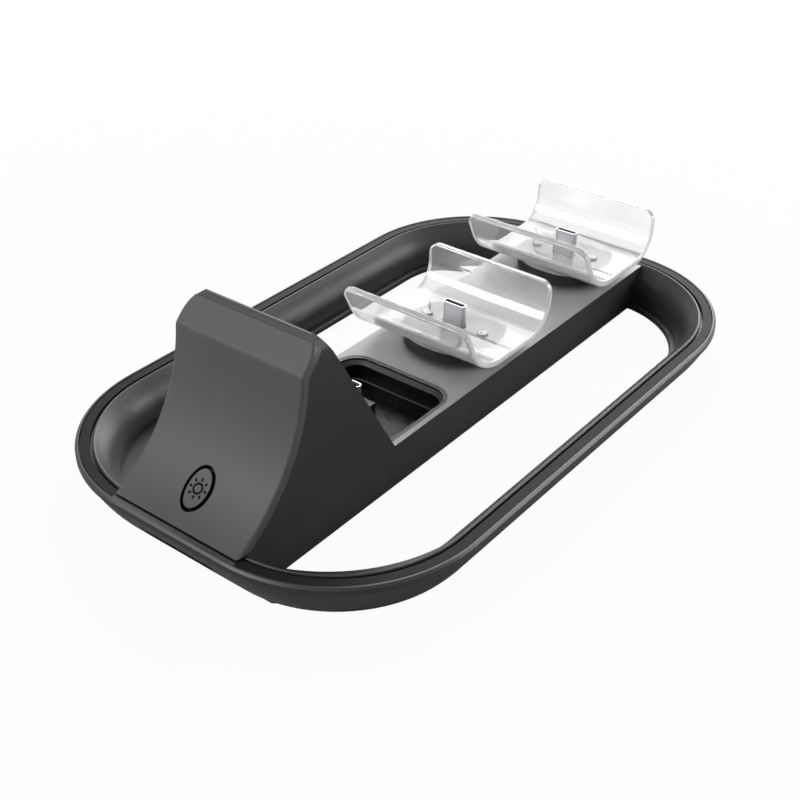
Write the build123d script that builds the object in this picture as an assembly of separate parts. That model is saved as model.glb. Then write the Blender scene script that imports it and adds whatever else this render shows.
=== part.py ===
# Charging dock for two game controllers: a low ring round a central spine, a leaning tower
# with a light button at the front, a slot behind the tower and two bent clear cradles.
# Millimetres, +Z up. The origin is on the floor under the middle of the ring, the tower
# stands at the -Y end and +X is the dock's right-hand side as seen from the tower.
from build123d import *
import os

# Ring, measured on the rim's outer edge
ring_width = 133.0
ring_length = 216.0
ring_corner_radius = 46.5
rim_height = 15.0

# Ring section: distances run inward from the rim's outer edge
hull_recede = 7.4
hull_bulge = 0.5
ring_wall = 1.7
floor_thickness = 1.8
foot_proud = 0.8
lip_reach = 14.0
lip_round = 0.6
opening_front_radius = 50.0
rim_edge_depth = 2.1
rim_edge_chamfer = 0.6
parting_gap = 0.5
parting_inset = 0.6
joint_skin = 0.5
joint_step = 1.0
channel_border = 1.1
channel_width = 3.9
channel_depth = 1.5
bead_width = 0.9
shoulder_reach = 7.2
shoulder_drop = 1.6
shoulder_round = 3.5
cove_reach = 12.2
cove_sag = 1.3

# Light strip in the rim
guide_width = 2.8
guide_gap = 0.3
guide_thickness = 0.75
strip_width = 2.0
strip_thickness = 0.45

# Spine and tower housing
spine_width = 45.4
housing_wall = 1.8
spine_end_inset = 6.9
tower_foot_inset = 2.6
tower_crease_inset = 30.0
tower_crease_height = 56.5
tower_top_inset = 38.7
tower_height = 65.0
tower_back_inset = 67.4
tower_front_sag = 6.5
tower_crease_round = 3.0
tower_top_round = 1.2
tower_corner_radius = 7.0

# Front plate
plate_thickness = 2.4
plate_overhang = 0.4
plate_gap = 0.5
plate_edge_round = 0.8
plate_rib_depth = 3.0
plate_rib_thickness = 1.2

# Light button, its switch and its board
button_width = 7.2
button_height = 11.6
button_gap = 1.0
button_along_front = 11.6
button_proud = 0.2
button_flange = 1.2
button_flange_thickness = 1.0
button_flange_gap = 0.4
stem_diameter = 4.0
stem_length = 1.2
plunger_diameter = 3.4
plunger_length = 2.4
plunger_show = 1.2
switch_side = 6.0
switch_height = 3.5
switch_bore_depth = 2.4
switch_board_width = 27.0
switch_board_length = 14.0
switch_post_spacing = 21.4
switch_post_diameter = 4.0

# Slot behind the tower
pocket_rear_inset = 100.5
pocket_depth = 9.6
pocket_corner_radius = 8.0
liner_wall = 1.4
liner_chamfer = 2.2
liner_ledge = 1.2
liner_ledge_depth = 7.0
liner_flange = 3.0
liner_flange_thickness = 1.3
slot_plug_gap = 7.0
slot_plug_top = 24.5
riser_width = 14.0
riser_length = 6.8
riser_top = 18.0

# Charging plugs, of the standard small reversible kind
plug_width = 8.25
plug_thickness = 2.4
plug_skin = 0.25
plug_mouth_width = 6.7
plug_mouth_height = 0.9
plug_mouth_depth = 5.2
plug_slot_margin = 0.35

# Clear cradles
near_plug_share = 0.5875
rear_plug_share = 0.8963
plug_top = 28.0
cradle_width = 48.0
cradle_thickness = 2.3
cradle_lip_reach = 27.3
cradle_lip_top = 38.0
cradle_lip_lean = 25.0
cradle_front_radius = 17.0
cradle_back_reach = 18.7
cradle_back_top = 35.4
cradle_back_radius = 10.0
cradle_back_corner = 4.0
cradle_lip_corner = 4.5
cradle_edge_round = 0.6
cradle_pin_spacing = 22.0

# Plinths under the cradles
plinth_width = 34.0
plinth_length = 30.0
plinth_height = 3.2
peg_diameter = 3.0
peg_spacing = 12.0
peg_length = 2.4

# Charging inlet in the front of the base
recess_left = -14.5
recess_right = 12.5
recess_bottom = 1.6
recess_top = 7.0
recess_back_inset = 11.5
recess_wall = 1.6
inlet_x = 1.0
inlet_height = 4.3
inlet_width = 8.94
inlet_thickness = 3.26
inlet_length = 7.3
inlet_skin = 0.3
inlet_tongue_width = 6.7
inlet_tongue_thickness = 0.7
inlet_back = 1.6
inlet_board_width = 24.0
inlet_board_length = 13.0
inlet_board_peg_spacing = 16.0
inlet_board_peg_diameter = 2.2
inlet_board_overlap = 3.2

# Boards, screws and feet
board_thickness = 1.2
main_board_width = 26.0
main_board_front_gap = 11.5
main_board_rear_reach = 7.4
main_board_drop = 1.0
main_boss_diameter = 5.0
main_boss_spacing = 19.0
slot_board_width = 18.0
slot_board_length = 11.0
board_screw_diameter = 1.9
board_screw_length = 3.0
board_screw_head = 3.6
board_screw_head_height = 1.3
cradle_pin_diameter = 2.0
cradle_pin_length = 5.2
cradle_pin_head = 3.8
cradle_pin_head_height = 0.7
base_screw_diameter = 2.5
base_screw_length = 6.0
base_screw_head = 4.6
base_screw_head_height = 1.6
screw_drive_depth = 0.5
screw_drive_width = 0.7
well_diameter = 8.0
well_height = 4.8
well_roof = 1.4
post_diameter = 6.0
post_offset = 18.2
post_top = 12.4
tower_post_gap = 11.4
slot_post_gap = 4.3
rear_post_gap = 4.4
foot_width = 4.4
foot_length = 14.0
foot_sink = 0.8
side_foot_share = 0.25
end_foot_share = 0.172

# Clearances
fit = 0.1
seat_gap = 0.15
loose = 0.3
pilot_gap = 0.05

# Reaches past the whole dock, for cuts, and tests on edges
far_below = -20.0
far_above = 100.0
quarter_turn = 90
nearly_straight = 0.99

# Levels and places that follow from the sizes above
half_length = ring_length / 2
half_width = ring_width / 2
front_edge = -half_length
floor_bottom = foot_proud
floor_top = floor_bottom + floor_thickness
rim_edge_bottom = rim_height - rim_edge_depth
hull_top = rim_edge_bottom - parting_gap
joint_level = hull_top - joint_step
channel_floor = rim_height - channel_depth
channel_end = channel_border + channel_width
bead_end = channel_end + bead_width
shoulder_level = rim_height - shoulder_drop
hull_lean_x = (hull_recede - parting_inset) / (hull_top - floor_bottom)
half_spine = spine_width / 2
half_inside = half_spine - housing_wall
spine_roof = rim_height - housing_wall
tower_seat = rim_height + plate_gap
tower_back_wall = plate_thickness + 2 * fit
cradle_floor = rim_height + plinth_height
cradle_top_face = cradle_floor + cradle_thickness
near_plug_y = front_edge + near_plug_share * ring_length
rear_plug_y = front_edge + rear_plug_share * ring_length
pocket_front = front_edge + tower_back_inset
pocket_rear = front_edge + pocket_rear_inset
slot_plug_y = pocket_front + slot_plug_gap
liner_floor = rim_height - pocket_depth
liner_bottom = liner_floor - liner_wall

# Depths on the button's axis, below the tower's face
flange_top = -plate_thickness - button_flange_gap
flange_bottom = flange_top - button_flange_thickness
stem_bottom = flange_bottom - stem_length
switch_top = stem_bottom - plunger_show
switch_bottom = switch_top - switch_height
switch_board_bottom = switch_bottom - board_thickness
switch_posts = [(-switch_post_spacing / 2, 0), (switch_post_spacing / 2, 0)]

# Places of boards, screws, pegs and feet
pilot_diameter = board_screw_diameter + 2 * pilot_gap
main_board_top = spine_roof - main_board_drop
main_board_front = pocket_rear + main_board_front_gap
main_board_rear = rear_plug_y + main_board_rear_reach
main_board_middle = (main_board_front + main_board_rear) / 2
main_bosses = [(side * main_boss_spacing / 2, y)
               for side in (-1, 1)
               for y in (main_board_front + main_boss_diameter, main_board_middle)]
cradle_pin_places = [-cradle_pin_spacing / 2, cradle_pin_spacing / 2]
post_places = [pocket_front - tower_post_gap, pocket_rear + slot_post_gap,
               (near_plug_y + rear_plug_y) / 2, rear_plug_y + rear_post_gap]
base_posts = [(side * post_offset, y) for side in (-1, 1) for y in post_places]
well_top = floor_bottom + well_height
screw_seat = well_top - well_roof
recess_back = front_edge + recess_back_inset
inlet_back_face = recess_back + inlet_length
inlet_board_front = inlet_back_face - inlet_board_overlap
inlet_board_bottom = inlet_height - board_thickness / 2
inlet_peg_y = inlet_board_front + inlet_board_length - 2 * inlet_board_peg_diameter
inlet_peg_top = inlet_board_bottom + 2 * board_thickness
inlet_pegs = [inlet_x - inlet_board_peg_spacing / 2, inlet_x + inlet_board_peg_spacing / 2]
foot_line = (hull_recede + lip_reach) / 2
side_foot_x = half_width - foot_line
side_foot_y = side_foot_share * ring_length
end_foot_x = end_foot_share * ring_width
end_foot_y = half_length - foot_line
strip_start = channel_border + guide_gap + (guide_width - strip_width) / 2

ring_path = RectangleRounded(ring_width, ring_length, ring_corner_radius).wire()


def section_plane():
    """Gives the plane across the ring at its path's start: X runs inward and Y upward."""
    start = ring_path @ 0
    along = ring_path % 0
    inward = Vector(0, 0, 1).cross(along)
    if inward.dot(start) > 0:
        inward = -inward
    return Plane(origin=start, x_dir=inward, z_dir=inward.cross(Vector(0, 0, 1)))


def carry_round(section):
    """Carries a section, drawn as inward distance against height, once round the ring."""
    return sweep(section_plane() * section, path=ring_path)


def side_solid(face, half):
    """Extrudes a face drawn as Y against Z to both sides of the middle plane."""
    return extrude(Plane.YZ * face, amount=half, both=True)


def box_between(low, high):
    """Makes a box from its lowest and highest corners."""
    centre = [(a + b) / 2 for a, b in zip(low, high)]
    size = [b - a for a, b in zip(low, high)]
    return Pos(*centre) * Box(*size)


def upright(diameter, bottom, top, x, y):
    """Makes an upright round bar between two levels."""
    return Pos(x, y, (bottom + top) / 2) * Cylinder(diameter / 2, top - bottom)


def upright_slot(width, thickness, bottom, top, x, y):
    """Makes an upright bar with round ends, its long side across the dock."""
    return Pos(x, y, bottom) * extrude(SlotOverall(width, thickness), amount=top - bottom)


def plug_slot(bottom, top, plug_y):
    """Makes the room of a cradle plug, with a margin all round, between two levels."""
    return upright_slot(plug_width + 2 * plug_slot_margin, plug_thickness + 2 * plug_slot_margin,
                        bottom, top, 0, plug_y)


def peg_places(plug_y):
    """Gives where a plinth's two pegs stand along the dock."""
    return plug_y - peg_spacing / 2, plug_y + peg_spacing / 2


def hull_point(level, inset):
    """Gives a point of the straight line of the outer wall at a level, moved inward by inset."""
    return (parting_inset + (hull_top - level) * hull_lean_x + inset, level)


def base_section():
    """Draws the lower ring: leaning outer wall with a joint lip, floor and inner lip."""
    skin = parting_inset + joint_skin
    ledge = hull_point(joint_level, ring_wall)
    heel = hull_point(floor_top, ring_wall)
    outer = SagittaArc((parting_inset, hull_top), (hull_recede, floor_bottom), -hull_bulge)
    round_start = (lip_reach, floor_top - lip_round)
    lip = Polyline((hull_recede, floor_bottom), (lip_reach, floor_bottom), round_start)
    lip_arc = RadiusArc(round_start, (lip_reach - lip_round, floor_top), -lip_round)
    inner = Polyline((lip_reach - lip_round, floor_top), heel, ledge, (skin, joint_level), (skin, hull_top),
                     (parting_inset, hull_top))
    return make_face([outer, lip, lip_arc, inner])


def cove(gap, start_level):
    """Gives the ring's inner wall as an arc moved off the wall by gap, from a level to the floor."""
    return SagittaArc((shoulder_reach + gap, start_level), (cove_reach + gap, floor_top), cove_sag)


def rim_section():
    """Draws the upper ring: edge, light channel, bead, shoulder and inner wall down to the floor."""
    skin = parting_inset + joint_skin + fit
    bead_start = (channel_end, rim_height - bead_width / 2)
    bead_finish = (bead_end, rim_height - bead_width / 4)
    hidden_foot = (cove_reach - ring_wall, floor_top)
    hidden_top = (shoulder_reach - ring_wall, joint_level)
    edge = Polyline((skin, joint_level), (skin, rim_edge_bottom), (0, rim_edge_bottom),
                    (0, rim_height - rim_edge_chamfer), (rim_edge_chamfer, rim_height),
                    (channel_border, rim_height), (channel_border, channel_floor),
                    (channel_end, channel_floor), bead_start)
    bead = ThreePointArc(bead_start, (channel_end + bead_width / 2, rim_height), bead_finish)
    shoulder = Line(bead_finish, (shoulder_reach, shoulder_level))
    inner = cove(0, shoulder_level)
    foot = Line((cove_reach, floor_top), hidden_foot)
    hidden = SagittaArc(hidden_foot, hidden_top, -cove_sag)
    under = Line(hidden_top, (skin, joint_level))
    section = make_face([edge, bead, shoulder, inner, foot, hidden, under])
    corner = section.vertices().sort_by_distance((shoulder_reach, shoulder_level, 0))[0]
    return fillet(corner, shoulder_round)


def ring_room():
    """Makes the room that the ring takes, with a seat gap, to clear what stands against it."""
    gap = seat_gap
    reach = lip_reach + gap
    below = Polyline((-ring_wall, far_below), (reach, far_below), (reach, floor_top + gap),
                     (cove_reach + gap, floor_top + gap), (cove_reach + gap, floor_top))
    inner = cove(gap, shoulder_level)
    above = Polyline((shoulder_reach + gap, shoulder_level), (bead_end, rim_height + gap),
                     (-ring_wall, rim_height + gap), (-ring_wall, far_below))
    return carry_round(make_face([below, inner, above]))


def front_webs(gap, bottom, top):
    """Makes the flat webs that round off the floor's opening at the front, grown by a gap."""
    half_x = half_width - lip_reach
    half_y = half_length - lip_reach
    margin = lip_round + fit
    outer = RectangleRounded(2 * (half_x + margin), 2 * (half_y + margin),
                             ring_corner_radius - lip_reach + margin)
    opening = Rectangle(2 * (half_x - gap), 2 * (half_y - gap))
    opening = fillet(opening.vertices().group_by(Axis.Y)[0], opening_front_radius - gap)
    front = Pos(0, -half_y) * Rectangle(ring_width, 2 * opening_front_radius)
    return Pos(0, 0, bottom) * extrude((outer - opening) & front, amount=top - bottom)


def strip_section(start, width, bottom, thickness):
    """Draws a flat strip lying in the light channel."""
    return Pos(start + width / 2, bottom + thickness / 2) * Rectangle(width, thickness)


def tower_points():
    """Gives the corners of the tower's side outline: foot, crease, top and back foot."""
    foot = (front_edge + tower_foot_inset, tower_seat)
    crease = (front_edge + tower_crease_inset, tower_crease_height)
    top = (front_edge + tower_top_inset, tower_height)
    return foot, crease, top, (pocket_front, rim_height)


def tower_front():
    """Gives the hollow curve of the tower's front in side view."""
    foot, crease, top, back = tower_points()
    return SagittaArc(foot, crease, -tower_front_sag)


def tower_outline():
    """Draws the tower's side outline, carried down past the floor so that offsets stay even."""
    foot, crease, top, back = tower_points()
    rest = Polyline(crease, top, back, (back[0], far_below), (foot[0], far_below), foot)
    face = make_face([tower_front(), rest])
    face = fillet(face.vertices().sort_by_distance((*crease, 0))[0], tower_crease_round)
    return fillet(face.vertices().sort_by_distance((*top, 0))[0], tower_top_round)


def back_strip(depth):
    """Draws all that lies behind a line set into the tower from its back face by depth."""
    foot, crease, top, back = tower_points()
    slope = Vector(back[0] - top[0], back[1] - top[1]).normalized()
    inward = Vector(slope.Y, -slope.X) * depth
    high = Vector(*top) + inward - slope * far_above
    low = Vector(*back) + inward
    return make_face(Polyline((high.X, high.Y), (low.X, low.Y), (low.X, far_below), (far_above, far_below),
                              (far_above, high.Y), (high.X, high.Y)))


def above_level(level):
    """Draws the half of the side view that lies above a level."""
    return Pos(0, level + far_above) * Rectangle(4 * far_above, 2 * far_above)


def front_view(width):
    """Makes the tower's front outline with its rounded top corners, carried right through the dock."""
    outline = Pos(0, (tower_height + far_below) / 2) * Rectangle(width, tower_height - far_below)
    outline = fillet(outline.vertices().group_by(Axis.Y)[-1], tower_corner_radius)
    return extrude(Plane.XZ * outline, amount=ring_length, both=True)


def button_plane():
    """Gives the plane that lies on the tower's front at the button, with Z out of the face."""
    front = tower_front()
    share = button_along_front / front.length
    place = front @ share
    along = front % share
    return Plane(origin=(0, place.X, place.Y), x_dir=(1, 0, 0), z_dir=(0, -along.Y, along.X))


def on_button_axis(diameter, bottom, top, x=0, y=0):
    """Makes a round bar along the button's axis between two depths from the tower's face."""
    return button_plane() * Pos(x, y, (bottom + top) / 2) * Cylinder(diameter / 2, top - bottom)


def button_oval(margin, bottom, top):
    """Makes the button's upright oval, grown by a margin, along its axis between two depths."""
    oval = Ellipse(button_width / 2 + margin, button_height / 2 + margin)
    return button_plane() * Pos(0, 0, bottom) * extrude(oval, amount=top - bottom)


def on_outline(edge, outline):
    """Tells whether an edge runs along the side outline near the tower's left or right flank."""
    middle = edge @ 0.5
    beside = abs(middle.X) > half_spine - tower_corner_radius
    return beside and outline.wire().distance_to(Vertex(middle.Y, middle.Z, 0)) < fit


def tower_front_plate():
    """Makes the front plate: a bent skin with a button hole, locating ribs and two board posts."""
    outline = tower_outline()
    inside = offset(outline, amount=-plate_thickness)
    deeper = offset(outline, amount=-plate_thickness - plate_rib_depth)
    skin = (outline - inside - back_strip(tower_back_wall + fit)) & above_level(tower_seat)
    plate = side_solid(skin, half_spine + plate_overhang)
    plate &= front_view(spine_width + 2 * plate_overhang)
    outer_rim = [edge for edge in plate.edges() if on_outline(edge, outline)]
    plate = fillet(outer_rim, plate_edge_round)
    rib_face = (inside - deeper - back_strip(plate_thickness + 2 * plate_rib_depth))
    rib_face &= above_level(tower_seat + 2 * plate_rib_depth)
    for side in (-1, 1):
        rib_place = side * (half_inside - fit - plate_rib_thickness / 2)
        plate += Pos(rib_place, 0, 0) * side_solid(rib_face, plate_rib_thickness / 2)
    for x, y in switch_posts:
        plate += on_button_axis(switch_post_diameter, switch_bottom, -plate_thickness / 2, x, y)
        plate -= on_button_axis(pilot_diameter, switch_bottom, switch_bottom + board_screw_length, x, y)
    return plate - button_oval(button_gap, -2 * plate_thickness, plate_thickness)


def led_button():
    """Makes the button: a cap that follows the tower's hollow front, a retaining flange and a stem."""
    cap = button_oval(0, flange_top, plate_thickness)
    face = button_plane().z_dir * button_proud
    cap &= Pos(face.X, face.Y, face.Z) * side_solid(tower_outline(), button_height)
    flange = button_oval(button_gap + button_flange, flange_bottom, flange_top)
    stem = on_button_axis(stem_diameter, stem_bottom, flange_bottom)
    return cap + flange + stem


def button_switch():
    """Makes the switch body with the bore that its plunger slides in."""
    middle = (switch_top + switch_bottom) / 2
    body = button_plane() * Pos(0, 0, middle) * Box(switch_side, switch_side, switch_height)
    return body - on_button_axis(plunger_diameter + 2 * loose, switch_top - switch_bore_depth, switch_top)


def switch_board():
    """Makes the small board that carries the switch, screwed to the plate's posts."""
    middle = (switch_bottom + switch_board_bottom) / 2
    board = Box(switch_board_width, switch_board_length, board_thickness)
    board = button_plane() * Pos(0, 0, middle) * board
    for x, y in switch_posts:
        board -= on_button_axis(pilot_diameter, switch_board_bottom, switch_bottom, x, y)
    return board


def spine_housing():
    """Makes the spine and the tower's sides and back as one open-bottomed shell."""
    outline = tower_outline()
    inside = offset(outline, amount=-plate_thickness - fit)
    spine_end = half_length - spine_end_inset
    spine_start = pocket_front - plate_thickness
    spine_face = make_face(Polyline((spine_start, floor_bottom), (spine_end, floor_bottom),
                                    (spine_end, rim_height), (spine_start, rim_height),
                                    (spine_start, floor_bottom)))
    tower_face = inside + (outline & back_strip(tower_back_wall))
    tower_face &= above_level(floor_bottom)
    shell = side_solid(spine_face + tower_face, half_spine) & front_view(spine_width)
    room_start = spine_start - plate_thickness
    room_end = half_length - lip_reach
    spine_room = make_face(Polyline((room_start, far_below), (room_end, far_below), (room_end, spine_roof),
                                    (room_start, spine_roof), (room_start, far_below)))
    tower_room = inside - back_strip(tower_back_wall)
    shell -= side_solid(spine_room + tower_room, half_inside)
    shell -= pocket_outline(0, 0, spine_roof - fit, far_above)
    for plug_y in (near_plug_y, rear_plug_y):
        shell -= plug_slot(spine_roof, rim_height, plug_y)
        for peg_y in peg_places(plug_y):
            shell -= upright(peg_diameter + 2 * fit, spine_roof, rim_height, 0, peg_y)
    for x, y in base_posts:
        post = upright(post_diameter, well_top + fit, post_top, x, y)
        pilot = upright(base_screw_diameter + 2 * pilot_gap, floor_bottom, post_top - housing_wall, x, y)
        shell = shell + post - pilot
    for x, y in main_bosses:
        shell += upright(main_boss_diameter, main_board_top, spine_roof, x, y)
        pilot_top = main_board_top + board_screw_length - board_thickness
        shell -= upright(pilot_diameter, main_board_top, pilot_top, x, y)
    shell -= front_webs(2 * seat_gap, far_below, floor_top + 2 * seat_gap)
    return shell - ring_room()


def pocket_outline(inset, rear_inset, bottom, top):
    """Makes an upright block with the slot's outline, its two rear corners rounded."""
    low_y = pocket_front + inset
    high_y = pocket_rear - rear_inset
    half = half_inside - inset
    outline = Pos(0, (low_y + high_y) / 2) * Rectangle(2 * half, high_y - low_y)
    outline = fillet(outline.vertices().group_by(Axis.Y)[-1], pocket_corner_radius - rear_inset)
    return Pos(0, 0, bottom) * extrude(outline, amount=top - bottom)


def pocket_liner():
    """Makes the slot's tray: chamfered mouth, ledge, floor and the riser that holds the plug."""
    tray = pocket_outline(fit, fit, liner_bottom, rim_height - fit)
    mouth = pocket_outline(liner_wall, liner_wall, rim_height - liner_ledge_depth, rim_height)
    lower = pocket_outline(liner_wall + liner_ledge, liner_wall + liner_chamfer, liner_floor, rim_height)
    tray = tray - mouth - lower
    tab_top = spine_roof - fit
    tab_bottom = tab_top - liner_flange_thickness
    tray += box_between((-half_inside / 2, pocket_rear - liner_wall, tab_bottom),
                        (half_inside / 2, pocket_rear + liner_flange, tab_top))
    tray += box_between((-riser_width / 2, slot_plug_y - riser_length / 2, liner_bottom),
                        (riser_width / 2, slot_plug_y + riser_length / 2, riser_top))
    return tray - upright_slot(plug_width + 2 * fit, plug_thickness + 2 * fit,
                               liner_bottom, riser_top, 0, slot_plug_y)


def plug_shell(y, bottom, top):
    """Makes a plug's drawn metal skin."""
    outer = upright_slot(plug_width, plug_thickness, bottom, top, 0, y)
    inner_width = plug_width - 2 * plug_skin
    inner_thickness = plug_thickness - 2 * plug_skin
    return outer - upright_slot(inner_width, inner_thickness, bottom, top, 0, y)


def plug_core(y, bottom, top):
    """Makes a plug's insulator with its mouth."""
    inside = plug_skin + pilot_gap
    core = upright_slot(plug_width - 2 * inside, plug_thickness - 2 * inside, bottom, top - plug_skin, 0, y)
    return core - upright_slot(plug_mouth_width, plug_mouth_height, top - plug_mouth_depth, top, 0, y)


def cradle(plug_y):
    """Makes a clear cradle: one strip bent into a lip, a floor and a back wall."""
    middle = cradle_floor + cradle_thickness / 2
    lip_top = Vector(plug_y - cradle_lip_reach, cradle_lip_top)
    back = plug_y + cradle_back_reach
    back_bend = (back - cradle_back_radius, middle)
    back_rise = (back, middle + cradle_back_radius)
    turn = quarter_turn - cradle_lip_lean
    lean = Vector(0, 1).rotate(Axis.Z, cradle_lip_lean)
    rise = cradle_front_radius * (1 - Vector(1, 0).rotate(Axis.Z, turn).X)
    bend_top = lip_top - lean * ((cradle_lip_top - middle - rise) / lean.Y)
    bend_end = bend_top.X + cradle_front_radius * Vector(1, 0).rotate(Axis.Z, turn).Y
    path = Wire([
        Line((lip_top.X, lip_top.Y), (bend_top.X, bend_top.Y)),
        TangentArc((bend_top.X, bend_top.Y), (bend_end, middle), tangent=(-lean.X, -lean.Y)),
        Line((bend_end, middle), back_bend),
        TangentArc(back_bend, back_rise, tangent=(1, 0)),
        Line(back_rise, (back, cradle_back_top)),
    ])
    path = Plane.YZ * path
    start = Plane(origin=path @ 0, x_dir=(1, 0, 0), z_dir=path % 0)
    strip = sweep(start * Rectangle(cradle_width, cradle_thickness), path=path)
    corners = strip.edges().filter_by(lambda edge: abs(edge.length - cradle_thickness) < fit)
    lip_corners = corners.group_by(Axis.Y)[0]
    strip = fillet(lip_corners, cradle_lip_corner)
    corners = strip.edges().filter_by(lambda edge: abs(edge.length - cradle_thickness) < fit)
    back_corners = [edge for edge in corners if edge.center().Z > cradle_back_top - cradle_thickness
                    and edge.center().Y > plug_y]
    strip = fillet(back_corners, cradle_back_corner)
    longest_rim = cradle_width - 2 * cradle_lip_corner
    rims = [edge for edge in strip.edges() if abs(edge.length - cradle_thickness) > fit
            and not (abs((edge % 0.5).X) > nearly_straight and edge.length > longest_rim + fit)]
    strip = fillet(rims, cradle_edge_round)
    strip -= plug_slot(cradle_floor, cradle_top_face, plug_y)
    for x in cradle_pin_places:
        strip -= upright(cradle_pin_diameter + 2 * loose, cradle_floor, cradle_top_face, x, plug_y)
    return strip


def plinth(plug_y):
    """Makes the oval plinth under a cradle, pegged into the spine's top."""
    block = upright_slot(plinth_width, plinth_length, rim_height, cradle_floor, 0, plug_y)
    for peg_y in peg_places(plug_y):
        block += upright(peg_diameter, rim_height - peg_length, rim_height, 0, peg_y)
    block -= plug_slot(rim_height, cradle_floor, plug_y)
    for x in cradle_pin_places:
        block -= upright(cradle_pin_diameter + 2 * pilot_gap, cradle_top_face - cradle_pin_length - fit,
                         cradle_floor, x, plug_y)
    return block


def inlet_room(gap):
    """Makes the block that the inlet takes up, with a gap all round."""
    outline = SlotOverall(inlet_width + 2 * gap, inlet_thickness + 2 * gap)
    return Pos(inlet_x, recess_back, inlet_height) * extrude(Plane.XZ * outline, amount=-inlet_length)


def base_pan():
    """Makes the lower ring and the spine's floor in one, with the front recess, wells and pegs."""
    floor_end = half_length - lip_reach + lip_round + fit
    floor_side = half_inside - loose
    pan = carry_round(base_section()) + front_webs(0, floor_bottom, floor_top)
    pan += box_between((-floor_side, -floor_end, floor_bottom), (floor_side, floor_end, floor_top))
    hull = carry_round(make_face([
        SagittaArc((parting_inset, hull_top), (hull_recede, floor_bottom), -hull_bulge),
        Polyline((hull_recede, floor_bottom), (lip_reach, floor_bottom), (lip_reach, hull_top),
                 (parting_inset, hull_top))]))
    pan += hull & box_between(
        (recess_left - recess_wall, front_edge, floor_bottom),
        (recess_right + recess_wall, recess_back + recess_wall, recess_top + recess_wall))
    pan -= box_between((recess_left, front_edge, recess_bottom), (recess_right, recess_back, recess_top))
    pan -= inlet_room(fit)
    inside = box_between((-floor_side, -half_length, floor_bottom), (floor_side, half_length, rim_height))
    for x, y in base_posts:
        pan += upright(well_diameter, floor_bottom, well_top, x, y) & inside
        pan -= upright(base_screw_head + 2 * loose, floor_bottom, screw_seat, x, y)
        pan -= upright(base_screw_diameter + 2 * loose, floor_bottom, well_top, x, y)
    for x in inlet_pegs:
        pan += upright(2 * inlet_board_peg_diameter, floor_top, inlet_board_bottom, x, inlet_peg_y)
        pan += upright(inlet_board_peg_diameter, floor_top, inlet_peg_top, x, inlet_peg_y)
    for pad in foot_pads(floor_bottom, floor_bottom + foot_sink, fit):
        pan -= pad
    return pan


def foot_pads(bottom, top, gap):
    """Makes the foot pads between two levels: four along the sides and four along the ends."""
    outline = SlotOverall(foot_length + 2 * gap, foot_width + 2 * gap)
    pad = extrude(outline, amount=top - bottom)
    pads = []
    for side in (-1, 1):
        for end in (-1, 1):
            pads.append(Pos(side * side_foot_x, end * side_foot_y, bottom) * Rot(0, 0, quarter_turn) * pad)
            pads.append(Pos(side * end_foot_x, end * end_foot_y, bottom) * pad)
    return pads


def ring_top():
    """Makes the upper ring, notched at the front for the inlet and its board."""
    ring = carry_round(rim_section())
    room = recess_wall + loose
    ring -= box_between((recess_left - room, front_edge, floor_top),
                        (recess_right + room, recess_back + room, recess_top + room))
    half_notch = inlet_width / 2 + loose
    notch_top = inlet_height + inlet_thickness / 2 + loose
    return ring - box_between((inlet_x - half_notch, recess_back, floor_top),
                              (inlet_x + half_notch, front_edge + lip_reach, notch_top))


def inlet_shell():
    """Makes the inlet's drawn metal case."""
    return inlet_room(0) - inlet_room(-inlet_skin)


def inlet_core():
    """Makes the inlet's insulator: a back block and the tongue."""
    inside = inlet_room(-inlet_skin - pilot_gap)
    block_front = inlet_back_face - inlet_back
    block = inside & box_between((-half_spine, block_front, floor_bottom),
                                 (half_spine, inlet_back_face, rim_height))
    tongue = Pos(inlet_x, 0, inlet_height) * box_between(
        (-inlet_tongue_width / 2, recess_back + 2 * inlet_skin, -inlet_tongue_thickness / 2),
        (inlet_tongue_width / 2, block_front, inlet_tongue_thickness / 2))
    return block + tongue


def inlet_board():
    """Makes the small board that the inlet sits in, held on two pegs of the base."""
    board = box_between((inlet_x - inlet_board_width / 2, inlet_board_front, inlet_board_bottom),
                        (inlet_x + inlet_board_width / 2, inlet_board_front + inlet_board_length,
                         inlet_board_bottom + board_thickness))
    board -= inlet_room(fit)
    for x in inlet_pegs:
        board -= upright(inlet_board_peg_diameter + 2 * fit, inlet_board_bottom,
                         inlet_board_bottom + board_thickness, x, inlet_peg_y)
    return board


def main_board():
    """Makes the board under the spine's roof that both cradle plugs stand on."""
    board = box_between((-main_board_width / 2, main_board_front, main_board_top - board_thickness),
                        (main_board_width / 2, main_board_rear, main_board_top))
    for x, y in main_bosses:
        board -= upright(pilot_diameter, main_board_top - board_thickness, main_board_top, x, y)
    return board


def slot_plug_board():
    """Makes the board under the slot's tray that the slot's plug stands on."""
    middle = liner_bottom - board_thickness / 2
    return Pos(0, slot_plug_y, middle) * Box(slot_board_width, slot_board_length, board_thickness)


def screw(diameter, length, head, head_height):
    """Makes a pan-head screw with a cross drive: the head stands on Z 0 and the shank hangs below."""
    body = Pos(0, 0, -length / 2) * Cylinder(diameter / 2, length)
    top = Pos(0, 0, head_height / 2) * Cylinder(head / 2, head_height)
    top = fillet(top.edges().sort_by(Axis.Z)[-1], head_height / 2)
    drive = head - 2 * screw_drive_width
    for turn in (0, quarter_turn):
        groove = Box(drive, screw_drive_width, 2 * screw_drive_depth)
        top -= Pos(0, 0, head_height) * Rot(0, 0, turn) * groove
    return body + top


def board_screws():
    """Makes the screws of the main board and the switch board as one group."""
    one = screw(board_screw_diameter, board_screw_length, board_screw_head, board_screw_head_height)
    down = Rot(180, 0, 0)
    group = [Pos(x, y, main_board_top - board_thickness) * down * one for x, y in main_bosses]
    group += [button_plane() * Pos(x, y, switch_board_bottom) * down * one for x, y in switch_posts]
    return Compound(group)


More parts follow.
